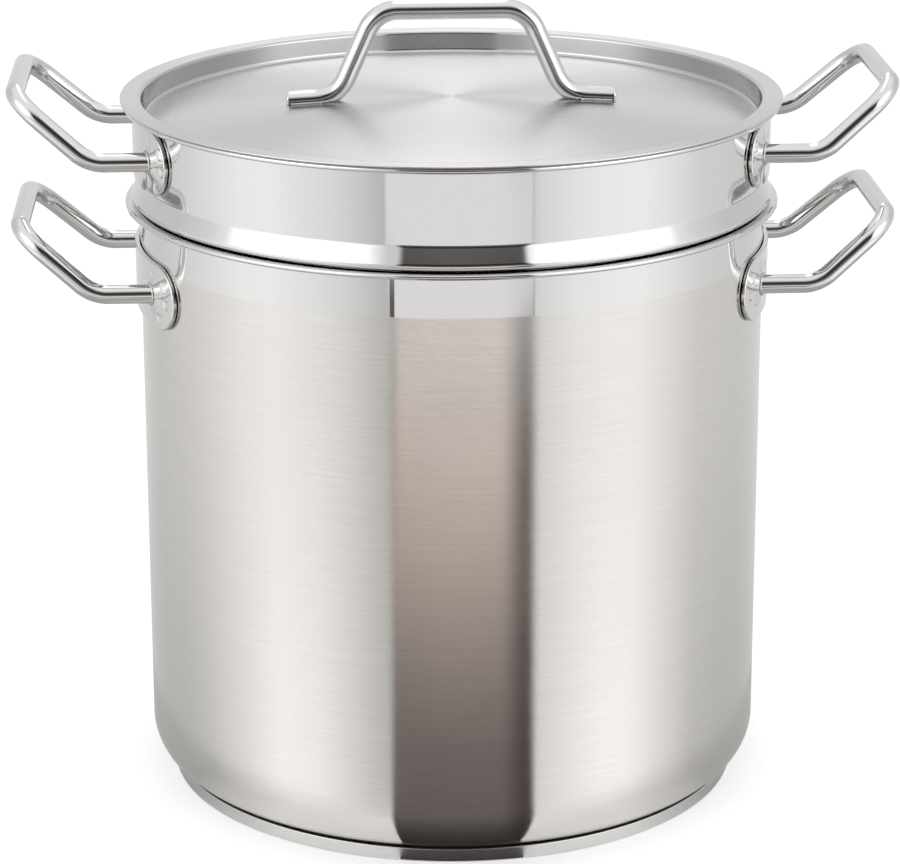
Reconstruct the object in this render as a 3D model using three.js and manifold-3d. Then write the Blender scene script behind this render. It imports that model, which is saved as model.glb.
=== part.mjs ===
// Tall pasta pot with a lift-out perforated insert and a sunk lid.
// Millimetres, +Z up. The origin is the centre of the underside, and the side handles lie along X.
import * as THREE from 'three';
import { mergeVertices } from 'three/addons/utils/BufferGeometryUtils.js';
import Module from 'manifold-3d';

const wasm = await Module();
wasm.setup();

// Pot
const potBore = 280; // inside diameter
const potSheet = 0.8; // wall and floor thickness
const potHeight = 272; // top of the lip above the stove
const potCorner = 20; // radius of the rounded bottom corner, outside
const lipWidth = 6.2; // how far a lip stands out from its wall
const lipBend = 1.2; // radius under the lip
const lipBead = 2.4; // height of the bead along the lip's edge

// Heat-spreading base
const baseRise = 5.3; // underside of the pot's floor above the stove
const capSheet = 0.6; // thickness of the steel dish that closes the base
const capInset = 9.8; // how far the dish's side stands in from the pot's wall
const capGroove = 1.1; // open groove between the dish's edge and the shell
const capCorner = 1.8; // radius of the dish's bottom corner
const corePlay = 1; // gap between the aluminium core and the dish's side

// Insert
const insertSheet = 0.8; // wall and floor thickness
const insertPlay = 1.2; // gap between the basket and the pot's wall
const insertStand = 38; // height of the basket's floor above the pot's floor
const insertCorner = 14; // radius of the basket's bottom corner
const seatWidth = 3.2; // how far the seat bead stands out from the band's wall
const seatHeight = 10.3; // height of the seat bead, from its underside to the band
const seatFlat = 2; // flat of the bead that rests on the pot's lip, out from the band's wall
const seatLift = 1.9; // how far the bead's outer edge rises off the pot's lip
const flankWidth = 0.4; // top of the bead's sloping flank, out from the band's wall
const flankHeight = 9.2; // and above the bead's underside

// Perforation
const holeDiameter = 7;
const holeRows = 7; // rows of holes round the wall
const holeRings = 4; // rings of holes in the floor, round the middle one
const ringHoles = 6; // holes that each ring has more than the one inside it
const holeMargin = 8; // plain metal between a hole and the rounded corner
const plainHeight = 58; // plain wall between the pot's rim and the top row of holes

// Lid
const lidSheet = 0.8; // thickness
const lidPlay = 0.7; // gap between the lid's recess and the insert's wall
const lidOverhang = 1.2; // how far the flange reaches past the insert's lip
const lidBend = 0.8; // radius under the flange
const lidDepth = 10.4; // depth of the recess at the disc's edge
const lidCorner = 2; // radius inside the recess's corner
const lidCrown = 7.9; // rise of the disc from its edge to its centre

// Side handles, alike on the pot and the insert
const rodDiameter = 8.5;
const handleSpacing = 97; // between the rod's two ends
const armReach = 19.7; // straight run out from the wall
const handleReach = 51.5; // from the wall to the grip's centre line
const handleRise = 28; // from the rod's ends up to the grip's centre line
const gripLength = 88; // between the grip's corners
const armBend = 18; // radius where an arm turns up
const gripBend = 16; // radius where an arm turns into the grip
const handleDrop = 32.7; // from the pot's rim down to the rod's ends
const strapSheet = 2; // thickness of the strap that carries the rod
const strapHeight = 29;
const potStrapEnd = 21.5; // the pot's strap beyond each rod end
const insertStrapEnd = 17; // the insert's strap beyond each rod end
const strapMargin = 1.5; // plain band above and below the insert's strap
const weldLeg = 3; // size of a weld bead

// Lid handle
const knobDiameter = 8.9; // rod
const knobWidth = 67.2; // between the legs' centre lines at the grip
const knobSpread = 17.4; // how far a leg spreads from the grip down to its foot
const knobFoot = 22.8; // from a leg's lower corner to the foot's end
const knobRise = 39.3; // from the disc's centre up to the grip's centre line
const knobFootBend = 15.8; // radius where a leg turns into its foot
const knobGripBend = 15; // radius where a leg turns into the grip
const footHeight = 5.3; // height of a foot, flattened underneath to lie on the disc
const footWeld = 16; // length of the weld bead round a foot

// Fit and facets
const fitGap = 0.3; // clearance between pieces that touch or are welded
const cutMargin = 25; // how far blanks and cutters run past a cut
const bendShare = 0.48; // largest share of a straight run that a bend may take
const facets = 40; // sides of a turned piece
const cornerSteps = 6; // facets round the pot's bottom corner
const bendSteps = 4; // facets along a bend
const dishSteps = 3; // facets round a small corner
const lipSteps = 2; // facets round a lip's bend
const endSteps = 5; // facets round a quarter of a strap's end
const rodSides = 10;
const holeSides = 6;
const beadRings = 6; // rings of facets on a weld bead
const crownStations = [0, 0.4, 0.7, 0.9]; // facets of the lid's crown, as shares of its radius

// Sizes that follow from the ones above
const potWall = potBore / 2 + potSheet;
const potFloor = baseRise + potSheet;
const capRadius = potWall - capInset;
const basketOuter = potBore / 2 - insertPlay;
const basketInner = basketOuter - insertSheet;
const basketBottom = potFloor + insertStand;
const seatBottom = potHeight + fitGap;
const bandBottom = seatBottom + seatHeight;
const bandClear = strapHeight + 2 * strapMargin;
const bandInner = potWall - insertSheet;
const insertRim = bandBottom + bandClear + lipBead;
const flangeBottom = insertRim + fitGap;
const flangeTop = flangeBottom + lidSheet;
const flangeRadius = potWall + lipWidth + lidOverhang;
const lidWall = bandInner - lidPlay - lidSheet;
const discRadius = lidWall - lidCorner;
const discEdge = flangeTop - lidDepth;
const potRodHeight = potHeight - handleDrop;
const insertRodHeight = bandBottom + bandClear / 2;

// Materials: one per mesh
const finishes = {
  satin: { color: 0xb9b8b5, roughness: 0.38, metalness: 1 },
  polished: { color: 0xcfcfcd, roughness: 0.12, metalness: 1 },
  alloy: { color: 0xa9abad, roughness: 0.5, metalness: 1 },
  weld: { color: 0xa8a6a2, roughness: 0.42, metalness: 1 },
};

function piece(name, geometry, finish) {
  const mesh = new THREE.Mesh(geometry, new THREE.MeshStandardMaterial(finishes[finish]));
  mesh.name = name;
  return mesh;
}

// Solids: closed meshes for joining and cutting, and back again
function solid(geometry) {
  const bare = geometry.clone();
  bare.deleteAttribute('normal');
  bare.deleteAttribute('uv');
  const merged = mergeVertices(bare, 1e-4);
  const corners = merged.index.array;
  const triVerts = [];
  for (let i = 0; i < corners.length; i += 3) {
    const [a, b, c] = corners.slice(i, i + 3);
    if (a !== b && b !== c && c !== a) triVerts.push(a, b, c);
  }
  const vertProperties = merged.attributes.position.array;
  const mesh = new wasm.Mesh({ numProp: 3, vertProperties, triVerts: new Uint32Array(triVerts) });
  return new wasm.Manifold(mesh);
}

function geometryOf(body) {
  const { vertProperties, triVerts } = body.getMesh();
  const geometry = new THREE.BufferGeometry();
  geometry.setAttribute('position', new THREE.BufferAttribute(vertProperties, 3));
  geometry.setIndex(new THREE.BufferAttribute(triVerts, 1));
  geometry.computeVertexNormals();
  return geometry;
}

// Turned shapes about Z, from [radius, height] points
function turned(profile, sides = facets) {
  const points = profile.map(([r, z]) => new THREE.Vector2(r, z));
  return new THREE.LatheGeometry(points, sides).rotateX(Math.PI / 2);
}

function drum(radius, bottom, top, sides = facets) {
  return turned([[0, bottom], [radius, bottom], [radius, top], [0, top]], sides);
}

function arc(r, z, radius, from, to, steps = bendSteps) {
  return Array.from({ length: steps + 1 }, (_, i) => {
    const angle = THREE.MathUtils.degToRad(from + ((to - from) * i) / steps);
    return [r + radius * Math.cos(angle), z + radius * Math.sin(angle)];
  });
}

// A flared lip with a beaded edge, from the outside of the wall round to its inside
function lip(wall, sheet, top) {
  const bend = [wall + lipBend, top - sheet - lipBend];
  const edge = wall + lipWidth;
  return [
    ...arc(...bend, lipBend, 180, 90, lipSteps),
    [edge - lipBead, top - sheet],
    [edge - lipBead / 2, top - lipBead],
    [edge, top - lipBead / 2],
    [edge - lipBead / 4, top],
    ...arc(...bend, lipBend + sheet, 90, 180, lipSteps),
  ];
}

// Height of the shell's underside at a radius, along the rounded corner
function shellUnderside(radius) {
  const inward = Math.max(0, radius - (potWall - potCorner));
  return baseRise + potCorner - Math.sqrt(potCorner ** 2 - inward ** 2);
}

function potShell() {
  const bend = [potWall - potCorner, baseRise + potCorner];
  return turned([
    [0, baseRise],
    ...arc(...bend, potCorner, -90, 0, cornerSteps),
    ...lip(potWall, potSheet, potHeight),
    ...arc(...bend, potCorner - potSheet, 0, -90, cornerSteps),
    [0, potFloor],
  ]);
}

function baseCap() {
  const inner = capRadius - capSheet;
  const rim = shellUnderside(inner) - capGroove;
  const bend = [capRadius - capCorner, capCorner];
  return turned([
    [0, 0],
    ...arc(...bend, capCorner, -90, 0, dishSteps),
    [capRadius, rim],
    [inner, rim],
    ...arc(...bend, capCorner - capSheet, 0, -90, dishSteps),
    [0, capSheet],
  ]);
}

function baseCore() {
  return drum(capRadius - capSheet - corePlay, capSheet + fitGap, baseRise - fitGap);
}

function insertProfile() {
  const bend = [basketOuter - insertCorner, basketBottom + insertCorner];
  const flank = seatBottom + flankHeight;
  return [
    [0, basketBottom],
    ...arc(...bend, insertCorner, -90, 0),
    [basketOuter, seatBottom],
    [potWall + seatFlat, seatBottom],
    [potWall + seatWidth, seatBottom + seatLift],
    [potWall + flankWidth, flank],
    [potWall, bandBottom],
    ...lip(potWall, insertSheet, insertRim),
    [bandInner, bandBottom],
    [bandInner + flankWidth, flank],
    [bandInner + seatWidth, seatBottom + seatLift + insertSheet / 2],
    [bandInner + seatFlat, seatBottom + insertSheet],
    [basketInner, seatBottom + insertSheet],
    ...arc(...bend, insertCorner - insertSheet, 0, -90),
    [0, basketBottom + insertSheet],
  ];
}

// Hole cutters: a bar across the whole basket cuts two opposite holes of a row
function holeBar(length) {
  return new THREE.CylinderGeometry(holeDiameter / 2, holeDiameter / 2, length, holeSides);
}

function wallCutters() {
  const lowest = basketBottom + insertCorner + holeMargin + holeDiameter / 2;
  const highest = potHeight - plainHeight - holeDiameter / 2;
  const pitch = (highest - lowest) / (holeRows - 1);
  const step = (2 * Math.PI) / facets;
  const cutters = [];
  for (let row = 0; row < holeRows; row += 1) {
    for (let pair = 0; pair < facets / 4; pair += 1) {
      const turn = (2 * pair + (row % 2) + 0.5) * step;
      cutters.push(holeBar(potBore).rotateZ(turn).translate(0, 0, lowest + row * pitch));
    }
  }
  return cutters;
}

function floorCutters() {
  const outermost = basketOuter - insertCorner - holeMargin - holeDiameter / 2;
  const cutters = [];
  for (let ring = 0; ring <= holeRings; ring += 1) {
    const radius = (outermost * ring) / holeRings;
    const count = Math.max(1, ringHoles * ring);
    for (let i = 0; i < count; i += 1) {
      const angle = (2 * Math.PI * (i + 0.5)) / count;
      const bar = holeBar(2 * cutMargin).rotateX(Math.PI / 2);
      cutters.push(bar.translate(radius * Math.cos(angle), radius * Math.sin(angle), basketBottom));
    }
  }
  return cutters;
}

function insertShell() {
  const cutters = [...wallCutters(), ...floorCutters()];
  const plain = solid(turned(insertProfile()));
  return geometryOf(cutters.reduce((body, cutter) => body.subtract(solid(cutter)), plain));
}

// Height of the lid disc's top face at a radius
function crown(radius) {
  return discEdge + lidCrown * (1 - (radius / discRadius) ** 2);
}

function crownPoints(offset, shares) {
  return shares.map((share) => [share * discRadius, crown(share * discRadius) + offset]);
}

function lidPan() {
  const bend = [lidWall + lidSheet + lidBend, flangeBottom - lidBend];
  const corner = [discRadius, discEdge + lidCorner];
  return turned([
    ...crownPoints(-lidSheet, crownStations),
    ...arc(...corner, lidCorner + lidSheet, -90, 0, dishSteps),
    ...arc(...bend, lidBend, 180, 90, lipSteps),
    [flangeRadius, flangeBottom],
    [flangeRadius, flangeTop],
    ...arc(...bend, lidBend + lidSheet, 90, 180, lipSteps),
    ...arc(...corner, lidCorner, 0, -90, dishSteps),
    ...crownPoints(0, crownStations.toReversed()),
  ]);
}

// A bent rod's centre line: straight runs joined by round bends, as a chain of stations
class BentRod extends THREE.Curve {
  constructor(corners, bends) {
    super();
    const points = corners.map((corner) => new THREE.Vector3(...corner));
    const turns = bends.map((radius, i) => BentRod.bend(...points.slice(i, i + 3), radius));
    this.stations = [points[0], ...turns.flat(), points.at(-1)];
  }

  static bend(before, corner, after, radius) {
    const back = before.clone().sub(corner);
    const ahead = after.clone().sub(corner);
    const room = bendShare * Math.min(back.length(), ahead.length());
    const half = back.angleTo(ahead) / 2;
    const reach = Math.min(radius / Math.tan(half), room);
    const start = corner.clone().addScaledVector(back.normalize(), reach);
    const end = corner.clone().addScaledVector(ahead.normalize(), reach);
    const centre = corner.clone().addScaledVector(back.add(ahead).normalize(), reach / Math.cos(half));
    const turn = new THREE.Quaternion().setFromUnitVectors(
      start.clone().sub(centre).normalize(),
      end.clone().sub(centre).normalize(),
    );
    return Array.from({ length: bendSteps + 1 }, (_, i) => {
      const part = new THREE.Quaternion().slerp(turn, i / bendSteps);
      return start.clone().sub(centre).applyQuaternion(part).add(centre);
    });
  }

  getPoint(t, target = new THREE.Vector3()) {
    const place = t * (this.stations.length - 1);
    const index = Math.min(Math.floor(place), this.stations.length - 2);
    return target.lerpVectors(this.stations[index], this.stations[index + 1], place - index);
  }

  getPointAt(u, target) {
    return this.getPoint(u, target);
  }

  getTangentAt(u, target) {
    return this.getTangent(u, target);
  }
}

function rod(path, diameter) {
  const section = new THREE.Shape().absarc(0, 0, diameter / 2, 0, 2 * Math.PI);
  return new THREE.ExtrudeGeometry(section, {
    steps: path.stations.length - 1,
    extrudePath: path,
    curveSegments: rodSides / 2,
  });
}

function rodCutter(diameter, length) {
  const radius = diameter / 2 + fitGap;
  return new THREE.CylinderGeometry(radius, radius, length, rodSides).rotateZ(Math.PI / 2);
}

// Side handle on the +X side of a wall, about the height of the rod's ends
const strapInner = potWall + fitGap;
const strapOuter = strapInner + strapSheet;

function strap(past) {
  const end = strapHeight / 2;
  const run = handleSpacing / 2 + past - end;
  const outline = new THREE.Shape();
  outline.absarc(run, 0, end, -Math.PI / 2, Math.PI / 2);
  outline.absarc(-run, 0, end, Math.PI / 2, 1.5 * Math.PI);
  const blank = new THREE.ExtrudeGeometry(outline, {
    depth: 2 * strapOuter,
    bevelEnabled: false,
    curveSegments: endSteps,
  });
  blank.rotateX(Math.PI / 2).rotateZ(Math.PI / 2);
  const ring = turned([
    [strapInner, -strapHeight],
    [strapOuter, -strapHeight],
    [strapOuter, strapHeight],
    [strapInner, strapHeight],
    [strapInner, -strapHeight],
  ], 2 * facets);
  return geometryOf(solid(ring).intersect(solid(blank)));
}

function wallDrum() {
  return solid(drum(strapOuter + fitGap, -strapHeight, strapHeight, 2 * facets));
}

function sideRod() {
  const root = potWall - cutMargin;
  const foot = handleSpacing / 2;
  const grip = gripLength / 2;
  const path = new BentRod([
    [root, -foot, 0],
    [potWall + armReach, -foot, 0],
    [potWall + handleReach, -grip, handleRise],
    [potWall + handleReach, grip, handleRise],
    [potWall + armReach, foot, 0],
    [root, foot, 0],
  ], [armBend, gripBend, gripBend, armBend]);
  return geometryOf(solid(rod(path, rodDiameter)).subtract(wallDrum()));
}

function rodWeld(y) {
  const turn = Math.asin(y / strapOuter);
  const across = rodDiameter / 2 + weldLeg;
  const bead = new THREE.SphereGeometry(1, rodSides, beadRings).scale(weldLeg, across, across);
  bead.rotateZ(turn).translate(strapOuter * Math.cos(turn), y, 0);
  const hole = rodCutter(rodDiameter, 2 * cutMargin).translate(strapOuter * Math.cos(turn), y, 0);
  return geometryOf(solid(bead).subtract(wallDrum()).subtract(solid(hole)));
}

function sideHandle(owner, side, height, strapEnd) {
  const flipped = side === 'left';
  const group = new THREE.Group();
  group.position.z = height;
  group.rotation.z = flipped ? Math.PI : 0;
  const front = (flipped ? 1 : -1) * (handleSpacing / 2);
  group.add(piece(`${owner}_strap_${side}`, strap(strapEnd), 'polished'));
  group.add(piece(`${owner}_handle_${side}`, sideRod(), 'polished'));
  group.add(piece(`${owner}_weld_${side}_front`, rodWeld(front), 'weld'));
  group.add(piece(`${owner}_weld_${side}_rear`, rodWeld(-front), 'weld'));
  return group;
}

// Lid handle: its feet lie along the crowned disc
const gripReach = knobWidth / 2;
const legReach = gripReach + knobSpread;
const footEnd = legReach + knobFoot;
const footMiddle = footEnd - footWeld / 2;
const footSlope = (-2 * lidCrown * footMiddle) / discRadius ** 2;

function footLine(reach) {
  const lift = fitGap + footHeight - knobDiameter / 2;
  return crown(footMiddle) + footSlope * (reach - footMiddle) + lift;
}

// The disc and the gap above it, to cut away from what lies on it
function discCutter() {
  return solid(turned([
    [0, discEdge - lidSheet],
    [discRadius, discEdge - lidSheet],
    ...crownPoints(fitGap, [1, ...crownStations.toReversed()]),
  ]));
}

function lidHandle() {
  const grip = crown(0) + knobRise;
  const path = new BentRod([
    [-footEnd, 0, footLine(footEnd)],
    [-legReach, 0, footLine(legReach)],
    [-gripReach, 0, grip],
    [gripReach, 0, grip],
    [legReach, 0, footLine(legReach)],
    [footEnd, 0, footLine(footEnd)],
  ], [knobFootBend, knobGripBend, knobGripBend, knobFootBend]);
  return geometryOf(solid(rod(path, knobDiameter)).subtract(discCutter()));
}

function lidWeld() {
  const middle = footEnd + weldLeg - footWeld / 2;
  const bead = new THREE.SphereGeometry(1, rodSides, beadRings);
  bead.scale(footWeld / 2, knobDiameter / 2 + weldLeg, footHeight / 2 + fitGap);
  bead.translate(middle, 0, crown(middle));
  const hole = rodCutter(knobDiameter, knobFoot).translate(-knobFoot / 2 + fitGap, 0, 0);
  hole.rotateY(-Math.atan(footSlope)).translate(footEnd, 0, footLine(footEnd));
  return geometryOf(solid(bead).subtract(discCutter()).subtract(solid(hole)));
}

// Assembly
const pot = new THREE.Group();
pot.add(piece('pot_shell', potShell(), 'satin'));
pot.add(piece('base_core', baseCore(), 'alloy'));
pot.add(piece('base_cap', baseCap(), 'satin'));
pot.add(sideHandle('pot', 'left', potRodHeight, potStrapEnd));
pot.add(sideHandle('pot', 'right', potRodHeight, potStrapEnd));

const insert = new THREE.Group();
insert.add(piece('insert_shell', insertShell(), 'polished'));
insert.add(sideHandle('insert', 'left', insertRodHeight, insertStrapEnd));
insert.add(sideHandle('insert', 'right', insertRodHeight, insertStrapEnd));

const lid = new THREE.Group();
lid.add(piece('lid_pan', lidPan(), 'satin'));
lid.add(piece('lid_handle', lidHandle(), 'polished'));
lid.add(piece('lid_weld_right', lidWeld(), 'weld'));
lid.add(piece('lid_weld_left', lidWeld().rotateZ(Math.PI), 'weld'));

const object = new THREE.Group();
object.add(pot, insert, lid);

export default object;
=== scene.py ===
# %% [markdown]
# # A pasta pot with a lift-out steamer insert
# Three loose things nest here: a tall steel pot, a perforated insert that hangs in the pot's rim,
# and a sunk lid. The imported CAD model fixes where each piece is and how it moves. This lesson
# rebuilds every piece on those sizes with finer shapes, and gives it the finish of real sheet steel.

from math import asin, atan2, cos, degrees, hypot, pi, radians, sin, sqrt, tan

import bmesh
import bpy
from mathutils import Euler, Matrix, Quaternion, Vector


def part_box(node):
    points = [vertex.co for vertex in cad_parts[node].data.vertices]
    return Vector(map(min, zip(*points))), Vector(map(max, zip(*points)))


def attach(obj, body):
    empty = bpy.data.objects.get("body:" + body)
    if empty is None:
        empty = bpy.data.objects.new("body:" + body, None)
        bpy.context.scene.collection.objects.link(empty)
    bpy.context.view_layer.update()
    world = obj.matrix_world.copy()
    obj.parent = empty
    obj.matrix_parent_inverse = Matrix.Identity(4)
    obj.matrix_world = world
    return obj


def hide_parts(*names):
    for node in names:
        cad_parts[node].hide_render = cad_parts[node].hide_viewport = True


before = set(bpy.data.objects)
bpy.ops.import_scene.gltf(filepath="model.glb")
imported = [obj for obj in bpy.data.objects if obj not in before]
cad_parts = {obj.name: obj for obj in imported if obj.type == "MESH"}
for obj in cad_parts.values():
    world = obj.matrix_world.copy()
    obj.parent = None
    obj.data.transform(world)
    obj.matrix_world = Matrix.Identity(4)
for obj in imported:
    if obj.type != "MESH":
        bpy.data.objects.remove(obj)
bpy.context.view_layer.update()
scene = bpy.context.scene
scene.view_settings.view_transform = "Standard"
MM = 0.001

# %% [markdown]
# ## Camera
# The picture is a product shot taken from about a metre and a half with a long lens, looking down
# on the lid by some 18 degrees. A long lens keeps the pot's sides nearly parallel. The place and
# the lens were worked out from the ellipses of the rims and the base.

# %% Camera
CAMERA_PLACE = Vector((-81.1, -1530.05, 646.5)) * MM
CAMERA_TILT, CAMERA_TURN, CAMERA_ROLL = radians(72.3), radians(-3.0), -0.0021
CAMERA_LENS, SENSOR_WIDTH = 139.17, 36
camera_data = bpy.data.cameras.new("photo_camera")
camera_data.sensor_width = SENSOR_WIDTH
camera_data.lens = CAMERA_LENS
camera = bpy.data.objects.new("photo_camera", camera_data)
aim = Euler((CAMERA_TILT, 0, CAMERA_TURN)).to_quaternion()
camera.rotation_mode = "QUATERNION"
camera.rotation_quaternion = aim @ Quaternion((0, 0, 1), CAMERA_ROLL)
camera.location = CAMERA_PLACE
scene.collection.objects.link(camera)
scene.camera = camera
print("camera stands", round(CAMERA_PLACE.length, 3), "m from the pot's foot")

# %% [markdown]
# ## Helpers for node trees
# Every material and every Geometry Nodes tree is wired in code. A Wire is one output of a node.
# Sums with wires add Math nodes, so a formula reads as it would on paper. One helper adds a node and
# feeds its inputs with numbers, wires or other nodes, and the rest are nodes that come back often.

# %% Wires
class Wire:
    def __init__(self, socket):
        self.socket = socket

    def __add__(self, other):
        return calc("ADD", self, other)

    def __sub__(self, other):
        return calc("SUBTRACT", self, other)

    def __rsub__(self, other):
        return calc("SUBTRACT", other, self)

    def __mul__(self, other):
        return calc("MULTIPLY", self, other)

    def __truediv__(self, other):
        return calc("DIVIDE", self, other)

    def __lt__(self, other):
        return calc("LESS_THAN", self, other)

    def __gt__(self, other):
        return calc("GREATER_THAN", self, other)

    def __abs__(self):
        return calc("ABSOLUTE", self)


def feed(socket, value):
    if isinstance(value, bpy.types.Node):
        value = Wire(value.outputs[0])
    if isinstance(value, Wire):
        socket.id_data.links.new(value.socket, socket)
    else:
        socket.default_value = value


def feed_all(node, inputs):
    for name, value in inputs.items():
        feed(node.inputs[name], value)


def add(tree, kind, inputs=None, **settings):
    made = tree.nodes.new(kind)
    for name, value in settings.items():
        setattr(made, name, value)
    feed_all(made, inputs or {})
    return made


def wire(node, key=0):
    return Wire(node.outputs[key])


def tree_of(*values):
    return next(value.socket.id_data for value in values if isinstance(value, Wire))


def calc(operation, *values):
    return wire(add(tree_of(*values), "ShaderNodeMath", dict(enumerate(values)), operation=operation))


print("wires ready")

# %% Node helpers
def most(first, *others):
    for other in others:
        first = calc("MAXIMUM", first, other)
    return first


def spread(value, low, high, to_low=0.0, to_high=1.0):
    inputs = dict(enumerate((value, low, high, to_low, to_high)))
    return wire(add(tree_of(value), "ShaderNodeMapRange", inputs))


def soft_step(value, edge, soft):
    return spread(value, edge - soft, edge + soft)


def blend_colours(factor, first, second):
    inputs = {0: factor, 6: first, 7: second}
    return wire(add(tree_of(factor), "ShaderNodeMix", inputs, data_type="RGBA"), 2)


def parts(place):
    made = add(tree_of(place), "ShaderNodeSeparateXYZ", {0: place})
    return [wire(made, axis) for axis in "XYZ"]


def point_at(tree, x=0.0, y=0.0, z=0.0):
    return add(tree, "ShaderNodeCombineXYZ", {0: x, 1: y, 2: z})


def object_place(tree):
    return wire(add(tree, "ShaderNodeTexCoord"), "Object")


def new_finish(name):
    made = bpy.data.materials.new(name)
    made.use_nodes = True
    return made, made.node_tree


def new_group(name, kind, inputs, outputs):
    group = bpy.data.node_groups.new(name, kind)
    for way, sockets in (("OUTPUT", outputs), ("INPUT", inputs)):
        for title, socket in sockets:
            group.interface.new_socket(title, in_out=way, socket_type="NodeSocket" + socket)
    given = {socket.name: Wire(socket) for socket in add(group, "NodeGroupInput").outputs}
    return group, given, add(group, "NodeGroupOutput")


print("node helpers ready")

# %% [markdown]
# ## Studio
# Polished steel has no colour of its own: it shows the room. In a studio it stands among white
# cards, and the gaps between them draw the dark lines down the pot. The world here is plain white,
# and a pale floor takes the shadow. Seen in a mirror the floor is painted darker towards the sides,
# which puts painted shade into the reflections there.

# %% World and floor light
WORLD_LIGHT = 0.85
WHITE, BLACK = (1, 1, 1, 1), (0, 0, 0, 1)
FLOOR_WHITE, FLOOR_LIFT, FLOOR_ROUGH = (0.86, 0.86, 0.86, 1), 0.42, 0.9
FLOOR_SHADED_SIDE_LEVEL, ASIDE_START, ASIDE_END = 0.5, radians(38), radians(66)


def seen_and_mirrored(tree):
    rays = add(tree, "ShaderNodeLightPath")
    mirrored = wire(rays, "Is Glossy Ray")
    return most(wire(rays, "Is Camera Ray"), mirrored, wire(rays, "Is Transmission Ray")), mirrored


def compass_from_camera(tree):
    x, y, _ = parts(object_place(tree))
    return calc("ARCTAN2", x, y * -1) - CAMERA_TURN


world = bpy.data.worlds.new("white_room")
world.use_nodes = True
scene.world = world
world_seen, _ = seen_and_mirrored(world.node_tree)
world_strength = spread(world_seen, 0, 1, WORLD_LIGHT, 1.0)
feed_all(world.node_tree.nodes["Background"], {"Color": WHITE, "Strength": world_strength})
floor_finish, floor_tree = new_finish("floor_white")
floor_seen, floor_mirrored = seen_and_mirrored(floor_tree)
bearing = abs(compass_from_camera(floor_tree))
# Painted shade for mirrors: seen in a mirror, the floor's colour and glow fall towards the sides.
aside = spread(bearing, ASIDE_START, ASIDE_END, 0, 1 - FLOOR_SHADED_SIDE_LEVEL) * floor_mirrored
feed_all(floor_tree.nodes["Principled BSDF"], {
    "Base Color": blend_colours(aside, FLOOR_WHITE, BLACK), "Roughness": FLOOR_ROUGH,
    "Specular IOR Level": 0.0, "Emission Color": WHITE,
    "Emission Strength": floor_seen * (1.0 - aside) * FLOOR_LIFT,
})
print("white world and floor finish set")

# %% Floor
DOME_RADIUS = 3.0
FLOOR_COUNT, NEAR_FLOOR, FAR_FLOOR = 96, 0.2, 4 * DOME_RADIUS


def mesh_object(name, verts, faces, material):
    mesh = bpy.data.meshes.new(name)
    mesh.from_pydata(verts, [], faces)
    mesh.shade_smooth()
    mesh.materials.append(material)
    made = bpy.data.objects.new(name, mesh)
    scene.collection.objects.link(made)
    return made


def stage_mesh(name, verts, faces, material, camera_sees=True, mirrors_see=True, floor_sees=True):
    made = mesh_object(name, verts, faces, material)
    made.visible_camera = camera_sees
    made.visible_glossy = mirrors_see
    made.visible_diffuse = made.visible_shadow = floor_sees
    return made


def ring_points(radius, z, count):
    angles = [2 * pi * i / count for i in range(count)]
    return [(radius * cos(a), radius * sin(a), z) for a in angles]


def strips(rows, count, closed=True, first=0):
    faces = []
    for low in range(first, first + (rows - 1) * count, count):
        for i in range(count if closed else count - 1):
            j = (i + 1) % count
            faces.append((low + i, low + j, low + count + j, low + count + i))
    return faces


near_ring = ring_points(NEAR_FLOOR, 0, FLOOR_COUNT)
far_ring = ring_points(FAR_FLOOR, 0, FLOOR_COUNT)
stage_mesh("floor_near", near_ring, [tuple(range(FLOOR_COUNT))], floor_finish)
stage_mesh("floor_far", far_ring + near_ring, strips(2, FLOOR_COUNT), floor_finish, mirrors_see=False)
print("floor laid, its far part hidden from mirrors")

# %% [markdown]
# ## Mirror dome
# The cards are painted on a dome that only mirrors can see. That shapes every reflection, and leaves
# the white background and the light on the floor alone. Upright walls look down at the low cards,
# rounded corners at the near ones, and sloping faces and rods up at the high ones. A strip light
# hangs behind for the lid's middle, two panels light the wall of its recess, and a dark gap stands
# where the camera does.

# %% Dome cards
# Compass angles are in degrees from the camera, positive towards the right of the picture.
LOW_CARDS = [
    (-180, 0.78), (-135, 0.78), (-107, 0.97), (-80, 1.22), (-68, 1.24), (-48, 1.07), (-38, 0.96),
    (-30, 0.83), (-24, 0.70), (-20, 0.68), (-18, 0.95), (-17, 1.02), (26, 1.02), (28, 0.86), (31, 0.98),
    (45, 1.15), (57, 1.22), (70, 1.25), (84, 1.12), (100, 0.93), (130, 0.82), (180, 0.78),
]
HIGH_CARDS = [
    (-180, 0.88), (-165, 0.82), (-140, 0.76), (-112, 0.78), (-95, 0.95), (-75, 1.42), (-58, 1.75),
    (-45, 1.75), (-34, 1.22), (-26, 0.88), (-20, 0.85), (28, 0.95), (36, 1.28), (46, 1.75), (60, 1.78),
    (76, 1.42), (95, 0.95), (112, 0.78), (140, 0.76), (165, 0.82), (180, 0.88),
]
NEAR_CARDS = [
    (-180, 0.6), (-118, 0.6), (-104, 0.72), (-82, 1.1), (-66, 1.5), (-50, 1.4), (-38, 1.08), (-28, 0.82),
    (-20, 0.7), (30, 1.0), (40, 1.2), (57, 1.5), (68, 1.48), (84, 1.05), (100, 0.7), (118, 0.6), (180, 0.6),
]
OVERHEAD, UNDERFOOT = 1.1, 0.5
LOW_TO_NEAR, NEAR_TO_UNDERFOOT = (-0.22, -0.4), (-0.45, -0.7)
LOW_TO_HIGH, HIGH_TO_OVERHEAD = (-0.06, 0.06), (0.55, 0.8)


def glow_finish(name):
    made, tree = new_finish(name)
    made.cycles.emission_sampling = "NONE"
    tree.nodes.clear()
    return made, tree


def glow(tree, colour):
    add(tree, "ShaderNodeOutputMaterial", {"Surface": add(tree, "ShaderNodeEmission", {"Color": colour})})


def grey(level):
    return (level, level, level, 1)


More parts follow.
